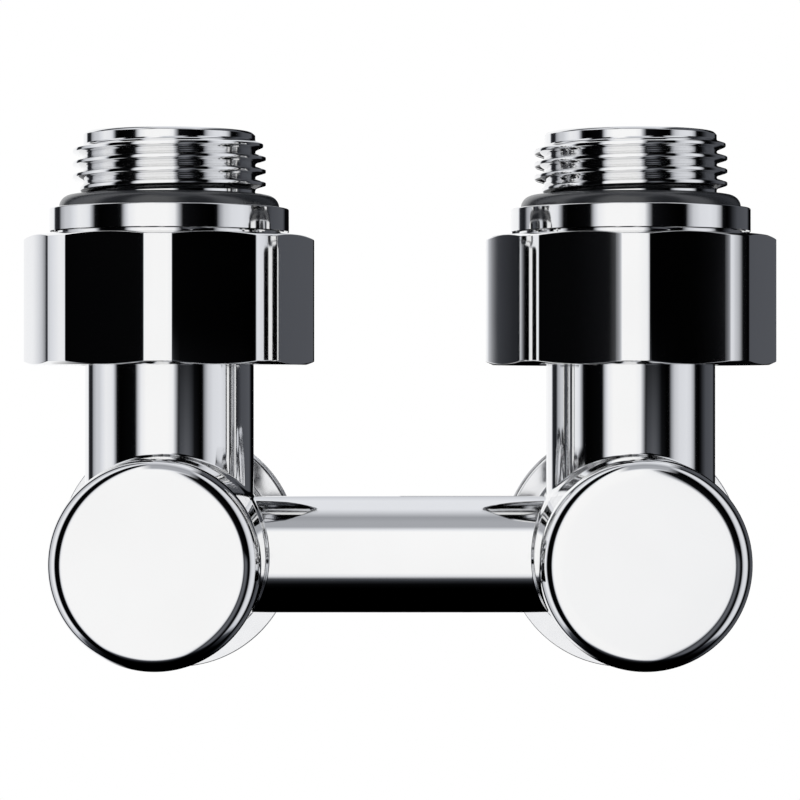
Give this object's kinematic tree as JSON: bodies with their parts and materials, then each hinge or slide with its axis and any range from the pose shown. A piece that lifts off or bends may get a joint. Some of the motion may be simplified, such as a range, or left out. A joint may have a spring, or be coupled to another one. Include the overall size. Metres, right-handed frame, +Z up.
{
  "type": "radiator connection valve block",
  "caption": "Chrome angle connection block for a bottom-connected radiator, with shut-off valves behind round caps, union nuts and threaded nipples.",
  "frame": {"origin": "middle of the bridge, on the common axis plane of the two valve bosses", "axes": "+Z up to the radiator, +Y to the wall, -Y the front with the caps, +X to the right seen from the front"},
  "size_m": [0.0814, 0.0452, 0.0589],
  "materials": {
    "chrome": "polished chrome plate on brass",
    "brass": "machined brass",
    "spring_steel": "drawn spring wire",
    "seal_rubber": "satin black moulded rubber",
    "fibre": "pressed fibre gasket"
  },
  "bodies": {
    "root": {"valve_body": "chrome", "left_nipple": "chrome", "left_radiator_seal": "seal_rubber", "left_snap_ring": "spring_steel", "left_tube_seal": "seal_rubber", "left_cap_seal": "seal_rubber", "left_bonnet": "brass", "left_bonnet_washer": "fibre", "right_nipple": "chrome", "right_radiator_seal": "seal_rubber", "right_snap_ring": "spring_steel", "right_tube_seal": "seal_rubber", "right_cap_seal": "seal_rubber", "right_bonnet": "brass", "right_bonnet_washer": "fibre"},
    "left_slip": {"left_slip_ring": "brass"},
    "left_nut": {"left_union_nut": "chrome"},
    "left_cap": {"left_cap": "chrome"},
    "left_disc": {"left_valve_disc": "brass", "left_disc_seal": "seal_rubber"},
    "left_spindle": {"left_spindle": "brass", "left_spindle_seals": "seal_rubber"},
    "right_slip": {"right_slip_ring": "brass"},
    "right_nut": {"right_union_nut": "chrome"},
    "right_cap": {"right_cap": "chrome"},
    "right_disc": {"right_valve_disc": "brass", "right_disc_seal": "seal_rubber"},
    "right_spindle": {"right_spindle": "brass", "right_spindle_seals": "seal_rubber"}
  },
  "joints": [
    {"name": "left_nut_travel", "type": "slide", "parent": "root", "child": "left_slip", "axis": [0, 0, -1], "range_m": [0, 0.00636]},
    {"name": "left_nut_turn", "type": "hinge", "parent": "left_slip", "child": "left_nut", "pos_m": [-0.025, 0, 0.0275], "axis": [0, 0, -1], "range_deg": [0, 1260]},
    {"name": "left_cap_pull", "type": "slide", "parent": "root", "child": "left_cap", "axis": [0, -1, 0], "range_m": [0, 0.012]},
    {"name": "left_valve_close", "type": "slide", "parent": "root", "child": "left_disc", "axis": [0, 1, 0], "range_m": [0, 0.00345]},
    {"name": "left_spindle_turn", "type": "hinge", "parent": "left_disc", "child": "left_spindle", "pos_m": [-0.025, -0.01, 0], "axis": [0, 1, 0], "range_deg": [0, 1245]},
    {"name": "right_nut_travel", "type": "slide", "parent": "root", "child": "right_slip", "axis": [0, 0, -1], "range_m": [0, 0.00636]},
    {"name": "right_nut_turn", "type": "hinge", "parent": "right_slip", "child": "right_nut", "pos_m": [0.025, 0, 0.0275], "axis": [0, 0, -1], "range_deg": [0, 1260]},
    {"name": "right_cap_pull", "type": "slide", "parent": "root", "child": "right_cap", "axis": [0, -1, 0], "range_m": [0, 0.012]},
    {"name": "right_valve_close", "type": "slide", "parent": "root", "child": "right_disc", "axis": [0, 1, 0], "range_m": [0, 0.00345]},
    {"name": "right_spindle_turn", "type": "hinge", "parent": "right_disc", "child": "right_spindle", "pos_m": [0.025, -0.01, 0], "axis": [0, 1, 0], "range_deg": [0, 1245]}
  ],
  "couplings": [
    {"joint": "left_nut_travel", "follows": "left_nut_turn", "m_per_rad": 0.00028871},
    {"joint": "left_spindle_turn", "follows": "left_valve_close", "rad_per_m": 6283.2},
    {"joint": "right_nut_travel", "follows": "right_nut_turn", "m_per_rad": 0.00028871},
    {"joint": "right_spindle_turn", "follows": "right_valve_close", "rad_per_m": 6283.2}
  ]
}
